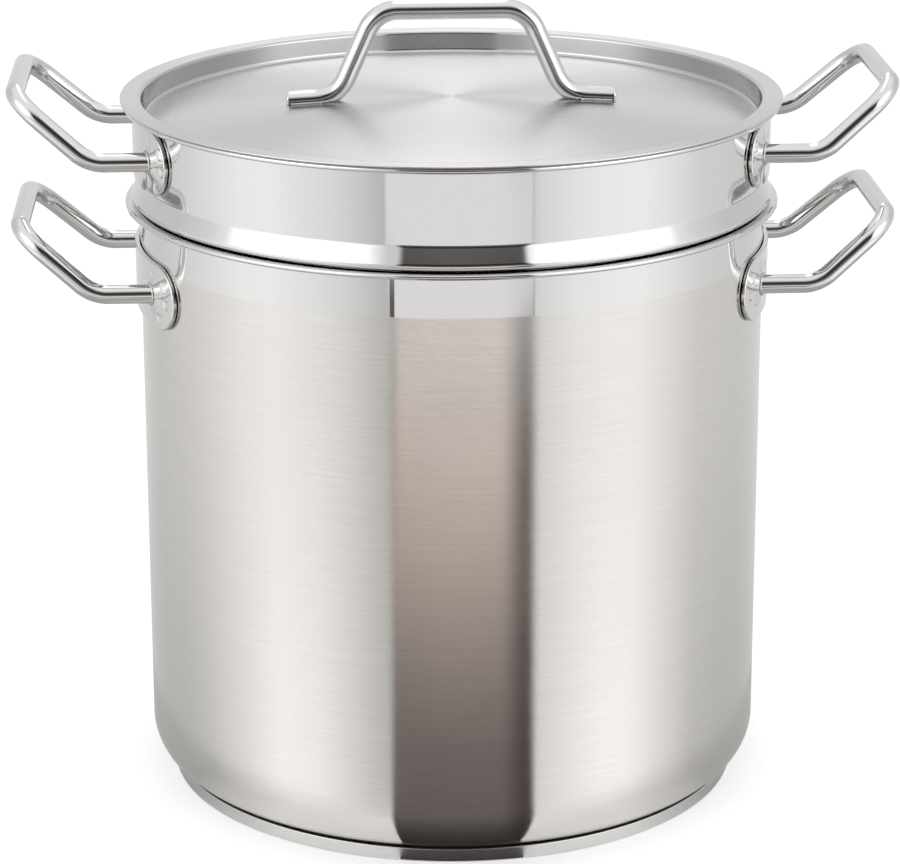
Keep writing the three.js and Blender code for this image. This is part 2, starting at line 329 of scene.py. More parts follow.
def ramp(factor, stops):
    made = add(tree_of(factor), "ShaderNodeValToRGB", {0: factor})
    elements = made.color_ramp.elements
    while len(elements) < len(stops):
        elements.new(0.5)
    for element, (place, colour) in zip(elements, stops):
        element.position = place
        element.color = colour
    return wire(made)


def cards(angle, levels):
    stops = [((degree + 180) / 360, grey(level)) for degree, level in levels]
    return ramp(spread(angle, -pi, pi), stops)


dome_finish, dome_tree = glow_finish("studio_cards")
compass = compass_from_camera(dome_tree)
dome_x, dome_y, dome_z = parts(object_place(dome_tree))
rise = dome_z / DOME_RADIUS
studio = blend_colours(spread(rise, *LOW_TO_NEAR), cards(compass, LOW_CARDS), cards(compass, NEAR_CARDS))
studio = blend_colours(spread(rise, *NEAR_TO_UNDERFOOT), studio, grey(UNDERFOOT))
studio = blend_colours(spread(rise, *LOW_TO_HIGH), studio, cards(compass, HIGH_CARDS))
studio = blend_colours(spread(rise, *HIGH_TO_OVERHEAD), studio, grey(OVERHEAD))
print(len(LOW_CARDS) + len(HIGH_CARDS) + len(NEAR_CARDS), "stops painted round the dome")

# %% Dome lights and gap
STRIP_LIGHT, STRIP_HALF, STRIP_SOFT = 1.75, 0.1, 0.03
STRIP_START, STRIP_BEHIND = (0.42, 0.5), (-0.1, 0.1)
PANEL_LIGHT, PANEL_MIDDLE, PANEL_HALF, PANEL_SOFT = 2.7, radians(55), radians(24), radians(8)
PANEL_FOOT, PANEL_HEAD = (0.3, 0.36), (0.58, 0.52)
GAP_LEFT, GAP_RIGHT, GAP_SOFT = radians(-18.5), radians(27), radians(1.0)
GAP_FOOT, GAP_HEAD, GAP_DARKENS = (-0.16, 0.03), (0.85, 0.52), (0.16, 0.34)
GAP_DIM, GAP_DARK = (0.19, 0.17, 0.163, 1), (0.036, 0.031, 0.029, 1)
turn_cos, turn_sin = cos(CAMERA_TURN) / DOME_RADIUS, sin(CAMERA_TURN) / DOME_RADIUS
sideways, away = dome_x * turn_cos + dome_y * turn_sin, dome_y * turn_cos - dome_x * turn_sin
strip = soft_step(abs(sideways), STRIP_HALF, -STRIP_SOFT)
strip = strip * spread(rise, *STRIP_START) * spread(away, *STRIP_BEHIND)
studio = blend_colours(strip, studio, grey(STRIP_LIGHT))
panel = soft_step(abs(abs(compass) - PANEL_MIDDLE), PANEL_HALF, -PANEL_SOFT)
panel = panel * spread(rise, *PANEL_FOOT) * spread(rise, *PANEL_HEAD)
studio = blend_colours(panel, studio, grey(PANEL_LIGHT))
gap = soft_step(compass, GAP_LEFT, GAP_SOFT) * soft_step(compass, GAP_RIGHT, -GAP_SOFT)
gap = gap * spread(rise, *GAP_FOOT) * spread(rise, *GAP_HEAD)
gap_tone = blend_colours(spread(rise, *GAP_DARKENS), GAP_DIM, GAP_DARK)
glow(dome_tree, blend_colours(gap, studio, gap_tone))
print("strip light, two panels and a dark gap added")

# %% Dome
DOME_RINGS = 47
dome_verts = []
for band in range(1, DOME_RINGS + 1):
    lean = pi * band / (DOME_RINGS + 1) - pi / 2
    dome_verts += ring_points(DOME_RADIUS * cos(lean), DOME_RADIUS * sin(lean), FLOOR_COUNT)
dome_faces = strips(DOME_RINGS, FLOOR_COUNT)
for first in (0, len(dome_verts) - FLOOR_COUNT):
    dome_faces.append(tuple(range(first, first + FLOOR_COUNT)))
stage_mesh("studio_dome", dome_verts, dome_faces, dome_finish, camera_sees=False, floor_sees=False)
print("dome of", DOME_RADIUS, "m set round the pot")

# %% [markdown]
# ## Front card
# A warm card lies on the floor before the pot. Only mirrors see it, and it glows with painted light:
# dark at the pot's foot as a painted shadow of the pot, pale further out, with a painted dark strip on
# its right side and painted dark lines at its edges. The wall is a round mirror, which bends straight
# edges. So the card's edges follow the sight lines that the wall reflects, and its image is an
# upright band.

# %% Front card finish
CARD_BREAK = 1.04
# Painted shadow: the card's glow is darkest at the pot's foot, where it stands in for the pot's shadow, and
# pales further out.
CARD_SHADOWED_TONES = [
    (-0.012, (0.03, 0.026, 0.025)), (0.02, (0.1, 0.088, 0.088)), (0.07, (0.18, 0.155, 0.155)),
    (0.17, (0.215, 0.18, 0.176)), (0.31, (0.375, 0.322, 0.308)), (0.48, (0.68, 0.575, 0.52)),
    (0.80, (0.98, 0.87, 0.83)), (0.87, (1.04, 1.02, 1.03)),
]
CARD_SHADE = (0.05, 0.04, 0.036, 1)
SHADE_LEFT, SHADE_RIGHT, SHADE_DEPTH, SHADE_FAR, SHADE_REST = 0.76, 0.92, 0.8, 1.0, 0.06
SHADE_END, SHADE_AGAIN = 0.875, 1.46
LINE_WIDTH, LINE_START, LINE_DEPTH = 0.036, 0.35, 1.0
RIM_WIDTH, RIM_DEPTH = 0.012, 0.35
card_finish, card_tree = glow_finish("front_card")
spans = [add(card_tree, "ShaderNodeAttribute", attribute_name=name) for name in ("across", "along")]
across, along = (wire(span, "Fac") for span in spans)
tones_start, tones_end = CARD_SHADOWED_TONES[0][0], CARD_SHADOWED_TONES[-1][0]
tone_stops = [((reach - tones_start) / (tones_end - tones_start), (*tone, 1)) for reach, tone in CARD_SHADOWED_TONES]
shadowed_card_tone = ramp(spread(along, tones_start, tones_end), tone_stops)
shade = spread(along, LINE_START, SHADE_END, SHADE_DEPTH, SHADE_FAR)
shade = shade * spread(across, SHADE_LEFT, SHADE_RIGHT)
shade = shade * most(along > SHADE_AGAIN, along < SHADE_END, SHADE_REST)
# Painted dark lines: one down the card's left edge, and a rim along both edges.
line = (across < LINE_WIDTH) * spread(along, LINE_START, SHADE_END, 0, LINE_DEPTH) * (along < CARD_BREAK)
rim = (calc("MINIMUM", across, 1.0 - across) < RIM_WIDTH) * RIM_DEPTH
glow(card_tree, blend_colours(most(shade, line, rim), shadowed_card_tone, CARD_SHADE))
print("front card toned over", tones_end - tones_start, "m")

# %% Front card
LIP_WIDTH = 6.2 * MM
CARD_PARTS = [
    (radians(-11.05), radians(14.9), tones_start, CARD_BREAK),
    (radians(-12.0), radians(14.7), CARD_BREAK, 1.9),
]
CARD_HEIGHT, CARD_STEPS, CARD_LANES = 1 * MM, 40, 8
pot_low, pot_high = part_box("pot_shell")
wall_radius = pot_high.x - LIP_WIDTH


def card_point(edge, reach):
    right = wall_radius * sin(edge) + reach * sin(2 * edge)
    ahead = wall_radius * cos(edge) + reach * cos(2 * edge)
    angle, distance = atan2(right, ahead) + CAMERA_TURN, hypot(right, ahead)
    return Vector((distance * sin(angle), -distance * cos(angle), CARD_HEIGHT))


card_verts, card_faces, card_spans = [], [], []
lanes = [k / CARD_LANES for k in range(CARD_LANES + 1)]
for left, right, start, end in CARD_PARTS:
    card_faces += strips(CARD_STEPS + 1, len(lanes), closed=False, first=len(card_verts))
    for i in range(CARD_STEPS + 1):
        reach = start + (end - start) * i / CARD_STEPS
        sides = card_point(left, reach), card_point(right, reach)
        card_verts += [tuple(sides[0].lerp(sides[1], lane)) for lane in lanes]
        card_spans += [(lane, reach) for lane in lanes]
card = stage_mesh("front_card", card_verts, card_faces, card_finish, camera_sees=False, floor_sees=False)
for name, values in zip(("across", "along"), zip(*card_spans)):
    card.data.attributes.new(name, "FLOAT", "POINT").data.foreach_set("value", values)
print("front card laid in", len(CARD_PARTS), "parts")

# %% [markdown]
# ## Brushing
# The pot's wall and the lid were brushed while they turned on a lathe, so the scratches run round
# the axis. Such grooves smear a reflection across themselves: upright on the wall, outwards on the
# lid. Principled's Anisotropic socket does the smearing. A group of noise stretched round the axis
# adds the grooves that the eye can still pick out. Its two coordinates are the direction from the
# axis and the distance along the profile, so one group serves walls, corners and discs.

# %% Turned grain group
BAND_SHARE, AXIS_GUARD = 0.12, 0.5 * MM


def turned_grain():
    group, given, result = new_group(
        "Turned grain", "ShaderNodeTree",
        [("Vector", "Vector"), ("Around", "Float"), ("Across", "Float")],
        [("Groove", "Float"), ("Band", "Float"), ("Radius", "Float")],
    )
    x, y, z = parts(given["Vector"])
    radius = most(calc("SQRT", x * x + y * y), AXIS_GUARD)
    feed(result.inputs["Radius"], radius)
    for name, share in (("Groove", 1.0), ("Band", BAND_SHARE)):
        around, profile = given["Around"] * share, (radius + z) * (given["Across"] * share)
        spot = point_at(group, x / radius * around, y / radius * around, profile)
        noise = {"Vector": spot, "Scale": 1.0, "Detail": 4.0, "Roughness": 0.65}
        feed(result.inputs[name], add(group, "ShaderNodeTexNoise", noise))
    return group


TURNED_GRAIN = turned_grain()
print("group:", TURNED_GRAIN.name)

# %% [markdown]
# ## Handling marks
# Steel that has been wiped and stacked carries faint cloudy smears and a few hairlines. They change
# how sharp a reflection is far more than its colour, so the group gives two masks, and each
# material adds a little of them to its roughness.

# %% Handling marks group
CLOUD_SCALE, CLOUD_RANGE = 22.0, (0.4, 0.75)
HAIRLINE_TURN, HAIRLINE_SCALE, HAIRLINE_RANGE = (0.5, 0.3, 0.7), (900, 40, 900), (0.68, 0.74)


def handling_marks():
    masks = [("Smear", "Float"), ("Hairline", "Float")]
    group, given, result = new_group("Handling marks", "ShaderNodeTree", [("Vector", "Vector")], masks)
    cloud = {"Vector": given["Vector"], "Scale": CLOUD_SCALE, "Detail": 3.0}
    cloud = wire(add(group, "ShaderNodeTexNoise", cloud))
    turn = {"Vector": given["Vector"], "Rotation": HAIRLINE_TURN, "Scale": HAIRLINE_SCALE}
    lines = {"Vector": add(group, "ShaderNodeMapping", turn), "Scale": 1.0, "Detail": 1.0}
    lines = wire(add(group, "ShaderNodeTexNoise", lines))
    feed_all(result, {"Smear": spread(cloud, *CLOUD_RANGE), "Hairline": spread(lines, *HAIRLINE_RANGE)})
    return group


HANDLING_MARKS = handling_marks()
print("group:", HANDLING_MARKS.name)

# %% [markdown]
# ## Steel finishes
# One recipe makes all the finishes: a metal Principled shader with a steel colour, a roughness that
# the grain and the marks vary, and a very shallow bump from the grooves. The pot's wall is satin up
# to a line and mirror polished above it, and the lid has a polished ring, so the recipe also takes
# a zone by height or by radius in which brushing stops and the steel takes a colour of its own. The
# lid's ring is the wall of its recess, and its darker colour is painted shade. Light bounces between
# the inner faces of a pot far more often than a render follows it, which would leave them black.
# There the steel counts as only half metal, and its plain half gathers the light that the bounces
# would bring.

# %% Steel recipe
POLISH_EDGE, GROOVE_DEPTH, WAVE_SCALE = 0.4 * MM, 0.016 * MM, 45.0
INSIDE_METAL, INSIDE_RANGE = 0.5, (-0.1, -0.4)
NOISE_RANGE, GRAIN_AROUND = (0.3, 0.7), 30.0
GRAIN_ROUGH, SMEAR_ROUGH, HAIRLINE_ROUGH = 0.2, 0.03, 0.012
DARKER, LIGHTER = 0.92, 1.04
ACROSS_TANGENT = 0.25


def metal_share(tree, where):
    flat = add(tree, "ShaderNodeVectorMath", {0: where, 1: (1, 1, 0)}, operation="MULTIPLY")
    outwards = add(tree, "ShaderNodeVectorMath", {0: flat}, operation="NORMALIZE")
    facing = {0: outwards, 1: wire(add(tree, "ShaderNodeNewGeometry"), "Normal")}
    facing = add(tree, "ShaderNodeVectorMath", facing, operation="DOT_PRODUCT")
    return spread(wire(facing, "Value"), *INSIDE_RANGE, 1.0, INSIDE_METAL)


def steel(name, colour, rough, grain=0.0, across=9000.0, smear=0.0, polish=None, wave=0.0, inside=False):
    made, tree = new_finish(name)
    where = object_place(tree)
    brushed = {"Vector": where, "Around": GRAIN_AROUND, "Across": across}
    brushed = add(tree, "ShaderNodeGroup", brushed, node_tree=TURNED_GRAIN)
    groove, band, radius = (wire(brushed, key) for key in ("Groove", "Band", "Radius"))
    marks = add(tree, "ShaderNodeGroup", {"Vector": where}, node_tree=HANDLING_MARKS)
    depth, satin = grain, rough
    if polish is not None:
        kind, start, end, bright, bright_colour = polish
        place = radius if kind == "radius" else parts(where)[2]
        brushing = most(soft_step(place, start, -POLISH_EDGE), soft_step(place, end, POLISH_EDGE))
        depth, satin = brushing * grain, spread(brushing, 0, 1, bright, rough)
    varied = spread(groove, *NOISE_RANGE, -0.5, 0.5) * depth * GRAIN_ROUGH + satin
    varied = varied + wire(marks, "Smear") * SMEAR_ROUGH + wire(marks, "Hairline") * HAIRLINE_ROUGH
    darker, lighter = ((*(part * share for part in colour), 1) for share in (DARKER, LIGHTER))
    spotted = blend_colours(spread(band, *NOISE_RANGE), darker, lighter)
    toned = blend_colours(calc("MINIMUM", (groove + band) * depth, 1.0), (*colour, 1), spotted)
    # The zone's own colour: the polished band's steel on the pot, and on the lid a darker steel that is
    # painted shade in its recess.
    if polish is not None:
        toned = blend_colours(brushing, (*bright_colour, 1), toned)
    ripple = wire(add(tree, "ShaderNodeTexNoise", {"Vector": where, "Scale": WAVE_SCALE, "Detail": 1.0}))
    height = groove * depth * GROOVE_DEPTH + ripple * (wave * MM)
    inputs = {
        "Base Color": toned, "Roughness": varied, "Metallic": metal_share(tree, where) if inside else 1.0,
        "Normal": add(tree, "ShaderNodeBump", {"Distance": 1.0, "Strength": 1.0, "Height": height}),
    }
    if smear:
        tangent = add(tree, "ShaderNodeTangent", direction_type="RADIAL", axis="Z")
        inputs |= {"Tangent": tangent, "Anisotropic": smear, "Anisotropic Rotation": ACROSS_TANGENT}
    feed_all(tree.nodes["Principled BSDF"], inputs)
    return made


print("steel recipe ready")

# %% Steel finishes
POLISHED_BAND = 20.2 * MM
RECESS_INNER, RECESS_OUTER = 137.2 * MM, 140.2 * MM
BRIGHT, RECESS_BRIGHT = 0.05, 0.1
SATIN_STEEL, LID_STEEL, BASE_STEEL = (0.655, 0.635, 0.605), (0.63, 0.63, 0.63), (0.66, 0.655, 0.645)
# The recess steel is darker than the lid's: painted shade on the wall of the lid's recess.
BRIGHT_STEEL, RECESS_SHADED_STEEL, WELD_STEEL = (0.66, 0.658, 0.652), (0.53, 0.52, 0.51), (0.58, 0.57, 0.555)
pot_polish = ("height", pot_high.z - POLISHED_BAND, pot_high.z + POLISHED_BAND, BRIGHT, BRIGHT_STEEL)
lid_polish = ("radius", RECESS_INNER, RECESS_OUTER, RECESS_BRIGHT, RECESS_SHADED_STEEL)
pot_steel = steel("pot_satin", SATIN_STEEL, 0.12, grain=0.5, smear=1.0, polish=pot_polish, inside=True)
lid_steel = steel("lid_satin", LID_STEEL, 0.27, grain=0.12, smear=0.95, polish=lid_polish)
base_steel = steel("base_satin", BASE_STEEL, 0.3, grain=0.4, smear=0.2)
band_steel = steel("band_polished", BRIGHT_STEEL, BRIGHT, grain=0.06, smear=0.3, inside=True)
rod_steel = steel("rod_polished", BRIGHT_STEEL, BRIGHT, wave=0.002)
strap_steel = steel("strap_polished", BRIGHT_STEEL, 0.07, wave=0.02)
weld_steel = steel("weld_dressed", WELD_STEEL, 0.26, wave=0.05)
print("seven steel finishes made")

# %% [markdown]
# ## Turned sheet
# The pot, its base dish and the lid are drawn from flat sheet and are round about one axis, so each
# is a profile swept round it. Short extra rings hold every long straight run next to its bends.
# Without them the smooth shading would smear a bend's normal down the whole wall and bend every
# reflection in it.

# %% Turning helpers
SEGMENTS = 240
HOLD, LONG_RUN, ON_AXIS = 0.4 * MM, 3 * MM, 1e-7


def arc(r, z, radius, start, end, steps):
    angles = [radians(start + (end - start) * i / steps) for i in range(steps + 1)]
    return [(r + radius * cos(a), z + radius * sin(a)) for a in angles]


def held(points):
    out = [points[0]]
    for (r0, z0), (r1, z1) in zip(points, points[1:]):
        length = hypot(r1 - r0, z1 - z0)
        if length > LONG_RUN:
            for share in (HOLD / length, 1 - HOLD / length):
                out.append((r0 + (r1 - r0) * share, z0 + (z1 - z0) * share))
        out.append((r1, z1))
    return out


def turned(profile):
    verts, rings, faces = [], [], []
    for r, z in profile:
        if r < ON_AXIS:
            rings.append([len(verts)] * SEGMENTS)
            verts.append((0, 0, z))
        else:
            rings.append(list(range(len(verts), len(verts) + SEGMENTS)))
            verts += ring_points(r, z, SEGMENTS)
    for lower, upper in zip(rings, rings[1:]):
        for i in range(SEGMENTS):
            j = (i + 1) % SEGMENTS
            faces.append(tuple(dict.fromkeys((lower[i], lower[j], upper[j], upper[i]))))
    return verts, faces


print("turning helpers ready,", SEGMENTS, "steps round the axis")

# %% Piece helpers
SHARP = radians(38)


def mesh_piece(name, verts, faces, finish):
    made = mesh_object(name, verts, faces, finish)
    made.data.set_sharp_from_angle(angle=SHARP)
    return made


def measured(piece):
    shape = bmesh.new()
    shape.from_mesh(piece.data)
    open_edges = sum(1 for edge in shape.edges if not edge.is_manifold)
    litres, faces = shape.calc_volume(signed=True) * 1000, len(shape.faces)
    shape.free()
    print(f"{piece.name}: {faces} faces, {litres:.4f} l of steel, {open_edges} open edges")
    return piece


def dress(piece, body, finish_slot, *nodes):
    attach(piece, body)
    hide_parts(*nodes)
    return measured(piece)


print("piece helpers ready")

# %% [markdown]
# ## Pot
# The pot is one deep-drawn cup. Its bottom corner is a generous radius, and its rim is bent outwards
# and rolled into a thin bead that carries the insert. Both faces of the sheet are drawn in one
# closed profile, so the wall has its true 0.8 mm.

# %% Pot
SHEET = 0.8 * MM
LIP_BEND, LIP_BEAD = 1.2 * MM, 2.4 * MM
POT_CORNER, CORNER_STEPS = 20 * MM, 20
pot_rim, base_rise = pot_high.z, pot_low.z


def lip(wall, top):
    bend = (wall + LIP_BEND, top - SHEET - LIP_BEND)
    bead = LIP_BEAD / 2
    leaves = degrees(asin((bead - SHEET) / bead))
    return [
        *arc(*bend, LIP_BEND, 180, 90, 5),
        *arc(wall + LIP_WIDTH - bead, top - bead, bead, 180 - leaves, 450, 14),
        *arc(*bend, LIP_BEND + SHEET, 90, 180, 6),
    ]


pot_corner = (wall_radius - POT_CORNER, base_rise + POT_CORNER)
pot_profile = [
    (0, base_rise),
    *arc(*pot_corner, POT_CORNER, -90, 0, CORNER_STEPS),
    *lip(wall_radius, pot_rim),
    *arc(*pot_corner, POT_CORNER - SHEET, 0, -90, CORNER_STEPS),
    (0, base_rise + SHEET),
]
pot_cup = mesh_piece("pot_cup", *turned(held(pot_profile)), pot_steel)
dress(pot_cup, "pot", "satin_steel", "pot_shell")

# %% [markdown]
# ## Base
# A thick aluminium disc spreads the heat. A shallow steel dish closes it in and is pressed against
# the pot's floor, which leaves a dark groove all round. The dish is turned like the pot, with a
# rounded rim. The aluminium can only be glimpsed through the groove, so its CAD solid stays.

# %% Base dish and core
CAP_SHEET, CAP_CORNER = 0.6 * MM, 1.8 * MM
CORE_ALLOY = (0.62, 0.63, 0.64)
cap_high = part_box("base_cap")[1]
cap_corner = (cap_high.x - CAP_CORNER, CAP_CORNER)
cap_edge = CAP_SHEET / 2
cap_profile = [
    (0, 0),
    *arc(*cap_corner, CAP_CORNER, -90, 0, 8),
    *arc(cap_high.x - cap_edge, cap_high.z - cap_edge, cap_edge, 0, 180, 6),
    *arc(*cap_corner, CAP_CORNER - CAP_SHEET, 0, -90, 8),
    (0, CAP_SHEET),
]
base_dish = mesh_piece("base_dish", *turned(held(cap_profile)), base_steel)
dress(base_dish, "pot", "base_steel", "base_cap")
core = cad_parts["base_core"]
core.data.materials.clear()
core.data.materials.append(steel("core_alloy", CORE_ALLOY, 0.45, grain=0.5, across=3000.0))
print("core keeps its CAD solid")

# %% [markdown]
# ## Straps
# Each pair of rod ends is welded to a strap with round ends that follows the wall. It was blanked
# from 2 mm sheet, tumbled so that its edges are rounded, and spot-welded to the wall. Each rod's seat
# swells into a low boss, and the welding left small dents beside it. The mesh is a set of shrinking
# outlines laid flat, then every point is bent on to the wall, because that keeps the rounded edge
# even all the way round.

# %% Strap shape
STRAP_SHEET, STRAP_EASE = 2 * MM, 0.7 * MM
STRAP_FOOT = STRAP_EASE / 2
WELD_SPACING = 97 * MM
BOSS_RADIUS, BOSS_HEIGHT = 12 * MM, 1.3 * MM
DENTS = [(12.5, 5.2), (14.6, -1.6), (1.5, 8.4), (8.0, -9.4), (-9.0, 6.0)]
DENT_SIZE, DENT_EDGE, DENT_DEPTH = 1.5 * MM, 0.8 * MM, 0.5 * MM
END_STEPS, RUN_STEPS, EASE_STEPS, FACE_STEPS = 44, 150, 5, 26
strap_boxes = {owner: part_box(f"{owner}_strap_right") for owner in ("pot", "insert")}
rod_heights = {owner: (low.z + high.z) / 2 for owner, (low, high) in strap_boxes.items()}
strap_outer = strap_boxes["pot"][1].x
strap_end = (strap_boxes["pot"][1].z - strap_boxes["pot"][0].z) / 2


def strap_outline(inset, run):
    radius = strap_end - inset
    angles = [radians(-90 + 180 * i / END_STEPS) for i in range(END_STEPS + 1)]
    half = [(run + radius * cos(a), radius * sin(a)) for a in angles]
    half += [(run - 2 * run * i / RUN_STEPS, radius) for i in range(1, RUN_STEPS)]
    return half + [(-y, -h) for y, h in half]


def strap_relief(y, h):
    lift = 0.0
    out = abs(y) - WELD_SPACING / 2
    off_rod = hypot(out, h)
    if off_rod < BOSS_RADIUS:
        lift += BOSS_HEIGHT * (0.5 + 0.5 * cos(pi * off_rod / BOSS_RADIUS))
    for dent_out, dent_up in DENTS:
        off = max(abs(out - dent_out * MM), abs(h - dent_up * MM))
        lift -= DENT_DEPTH * max(0.0, min(1.0, (DENT_SIZE + DENT_EDGE - off) / DENT_EDGE))
    return lift


def strap_layers():
    layers = [(STRAP_FOOT, 0.0), (0.0, STRAP_FOOT)]
    for i in range(EASE_STEPS + 1):
        a = radians(90 * i / EASE_STEPS)
        layers.append((STRAP_EASE * (1 - cos(a)), STRAP_SHEET - STRAP_EASE * (1 - sin(a))))
    face = strap_end - STRAP_EASE
    return layers + [(STRAP_EASE + face * i / FACE_STEPS, STRAP_SHEET) for i in range(1, FACE_STEPS)]


print("strap follows a radius of", round(strap_outer / MM, 1), "mm")

# %% Straps
def strap_cover(start, count):
    faces = []
    for i in range(END_STEPS // 2, END_STEPS // 2 + count // 2):
        corners = (i, i + 1, END_STEPS - i - 1, END_STEPS - i)
        faces.append(tuple(dict.fromkeys(start + k % count for k in corners)))
    return faces


def strap_mesh(height, run, turn):
    verts, layers = [], strap_layers()
    for inset, lift in layers:
        outline = strap_outline(inset, run)
        for y, h in outline:
            angle = asin(max(-1, min(1, y / strap_outer)))
            radius = strap_outer - STRAP_SHEET + lift
            if lift == STRAP_SHEET:
                radius += strap_relief(y, h)
            verts.append((turn * radius * cos(angle), turn * radius * sin(angle), height + h))
    count = len(outline)
    back = [corners[::-1] for corners in strap_cover(0, count)]
    return verts, strips(len(layers), count) + strap_cover(len(verts) - count, count) + back


for owner, box in strap_boxes.items():
    for side, turn in (("right", 1), ("left", -1)):
        shape = strap_mesh(rod_heights[owner], box[1].y - strap_end, turn)
        plate = mesh_piece(f"{owner}_strap_plate_{side}", *shape, strap_steel)
        dress(plate, owner, "polished_steel", f"{owner}_strap_{side}")

# %% [markdown]
# ## Bent rods
# The side handles and the lid's handle are round rod, bent cold over formers, so straight runs meet
# in true arcs of the rod's middle line. A section is carried along that line without twisting. The
# ends of a side handle are cut to the strap's curve, and the lid's rod ends are rounded over.

# %% Bent rod helpers
ROD_SIDES, BEND_STEPS = 32, 14


def bent_line(corners, bends):
    points = [Vector(corner) for corner in corners]
    line = [points[0]]
    for before, at, after, radius in zip(points, points[1:], points[2:], bends):
        back, ahead = (before - at).normalized(), (after - at).normalized()
        half = back.angle(ahead) / 2
        reach = radius / tan(half)
        centre = at + (back + ahead).normalized() * (reach / cos(half))
        first, last = at + back * reach - centre, at + ahead * reach - centre
        turn = first.rotation_difference(last)
        for i in range(BEND_STEPS + 1):
            line.append(centre + Quaternion().slerp(turn, i / BEND_STEPS) @ first)
    return line + points[-1:]


def rod_rings(line, radius, first_side):
    sides, rings = first_side, []
    angles = [2 * pi * k / ROD_SIDES for k in range(ROD_SIDES)]
    for before, point, after in zip(line[:1] + line, line, line[1:] + line[-1:]):
        ahead = (after - before).normalized()
        sides = (sides - ahead * sides.dot(ahead)).normalized()
        up = ahead.cross(sides)
        rings.append([point + (sides * cos(a) + up * sin(a)) * radius for a in angles])
    return rings


def rod_mesh(rings):
    verts = [tuple(point) for ring in rings for point in ring]
    ends = [tuple(reversed(range(ROD_SIDES))), tuple(range(len(verts) - ROD_SIDES, len(verts)))]
    return verts, strips(len(rings), ROD_SIDES) + ends


print("rod helpers ready,", ROD_SIDES, "sides to a rod")

# %% [markdown]
# ## Side handles
# Each side handle leaves the strap level, turns up and outwards, and crosses to the other arm in a
# grip four fingers wide. The left handles are the right ones turned half round the pot's axis.

# %% Side handles
ROD_RADIUS, FIT_GAP = 4.25 * MM, 0.3 * MM
ARM_REACH, ARM_BEND = 19.7 * MM, 18 * MM
HANDLE_REACH, HANDLE_RISE = 51.5 * MM, 28 * MM
GRIP_HALF, GRIP_BEND = 44 * MM, 16 * MM


def side_handle(height, turn):
    foot, seat = WELD_SPACING / 2, strap_outer + FIT_GAP
    start, arm, grip = sqrt(seat**2 - foot**2), wall_radius + ARM_REACH, wall_radius + HANDLE_REACH
    corners = [
        (start, -foot, height), (arm, -foot, height), (grip, -GRIP_HALF, height + HANDLE_RISE),
        (grip, GRIP_HALF, height + HANDLE_RISE), (arm, foot, height), (start, foot, height),
    ]
    line = bent_line(corners, (ARM_BEND, GRIP_BEND, GRIP_BEND, ARM_BEND))
    rings = rod_rings(line, ROD_RADIUS, Vector((0, 0, 1)))
    for point in rings[0] + rings[-1]:
        point.x = sqrt(seat**2 - point.y**2)
    for ring in rings:
        for point in ring:
            point.x, point.y = turn * point.x, turn * point.y
    return rod_mesh(rings)


for owner, height in rod_heights.items():
    for side, turn in (("right", 1), ("left", -1)):
        handle = mesh_piece(f"{owner}_side_rod_{side}", *side_handle(height, turn), rod_steel)
        dress(handle, owner, "polished_steel", f"{owner}_handle_{side}")

# %% [markdown]
# ## Weld beads
# A bead of weld joins each rod end to its strap. It follows the seam between the round rod and the
# curved strap, and its surface is a run of small ripples, each a drop of metal that froze on the
# last. A seam is a path, so Geometry Nodes sweep a small circle along it and let the radius swell
# and shrink with the distance. The same tree serves the two short seams along each of the lid's
# handle feet.

# %% Weld bead tree
SHAKE_SCALE, BEAD_SIDES = 260.0, 10


def coated(tree, shape, finish, result):
    smooth = add(tree, "GeometryNodeSetShadeSmooth", {"Geometry": shape})
    whole = add(tree, "GeometryNodeRealizeInstances", {0: smooth})
    feed(result.inputs[0], add(tree, "GeometryNodeSetMaterial", {"Geometry": whole, "Material": finish}))
    return tree


def circle(tree, sides, radius):
    return add(tree, "GeometryNodeCurvePrimitiveCircle", {"Resolution": sides, "Radius": radius})


def weld_tree():
    numbers = ("Bead Radius", "Ripple Length", "Ripple Depth", "Point Spacing", "Unevenness", "Seed")
    inputs = [("Geometry", "Geometry"), *((name, "Float") for name in numbers), ("Steel", "Material")]
    tree, given, result = new_group("Weld bead", "GeometryNodeTree", inputs, [("Geometry", "Geometry")])
    seam = {"Curve": given["Geometry"], "Length": given["Point Spacing"]}
    seam = add(tree, "GeometryNodeResampleCurve", seam, mode="LENGTH")
    shake = {"Vector": add(tree, "GeometryNodeInputPosition"), "W": given["Seed"], "Scale": SHAKE_SCALE}
    shake = wire(add(tree, "ShaderNodeTexNoise", shake, noise_dimensions="4D"), "Color")
    shake = add(tree, "ShaderNodeVectorMath", {0: shake, 1: (0.5, 0.5, 0.5)}, operation="SUBTRACT")
    shake = add(tree, "ShaderNodeVectorMath", {0: shake, "Scale": given["Unevenness"]}, operation="SCALE")
    seam = add(tree, "GeometryNodeSetPosition", {"Geometry": seam, "Offset": shake})
    way = wire(add(tree, "GeometryNodeSplineParameter"), "Length")
    swell = calc("SINE", way / given["Ripple Length"] * (2 * pi)) * given["Ripple Depth"] + 1.0
    section = circle(tree, BEAD_SIDES, given["Bead Radius"])
    swept = {"Curve": seam, "Profile Curve": section, "Scale": swell, "Fill Caps": True}
    return coated(tree, add(tree, "GeometryNodeCurveToMesh", swept), given["Steel"], result)


WELD_BEAD = weld_tree()
print("tree:", WELD_BEAD.name)

# %% Tree to mesh helpers
POINT_SPACING = 0.34 * MM


def run_tree(maker, tree, values):
    modifier = maker.modifiers.new(tree.name, "NODES")
    modifier.node_group = tree
    for item in tree.interface.items_tree:
        if item.in_out == "INPUT" and item.name in values:
            modifier[item.identifier] = values[item.name]


def plain_mesh(maker, name):
    maker.update_tag()
    bpy.context.view_layer.update()
    graph = bpy.context.evaluated_depsgraph_get()
    mesh = bpy.data.meshes.new_from_object(maker.evaluated_get(graph), depsgraph=graph)
    mesh.name = name
    made = bpy.data.objects.new(name, mesh)
    scene.collection.objects.link(made)
    bpy.data.objects.remove(maker)
    return made


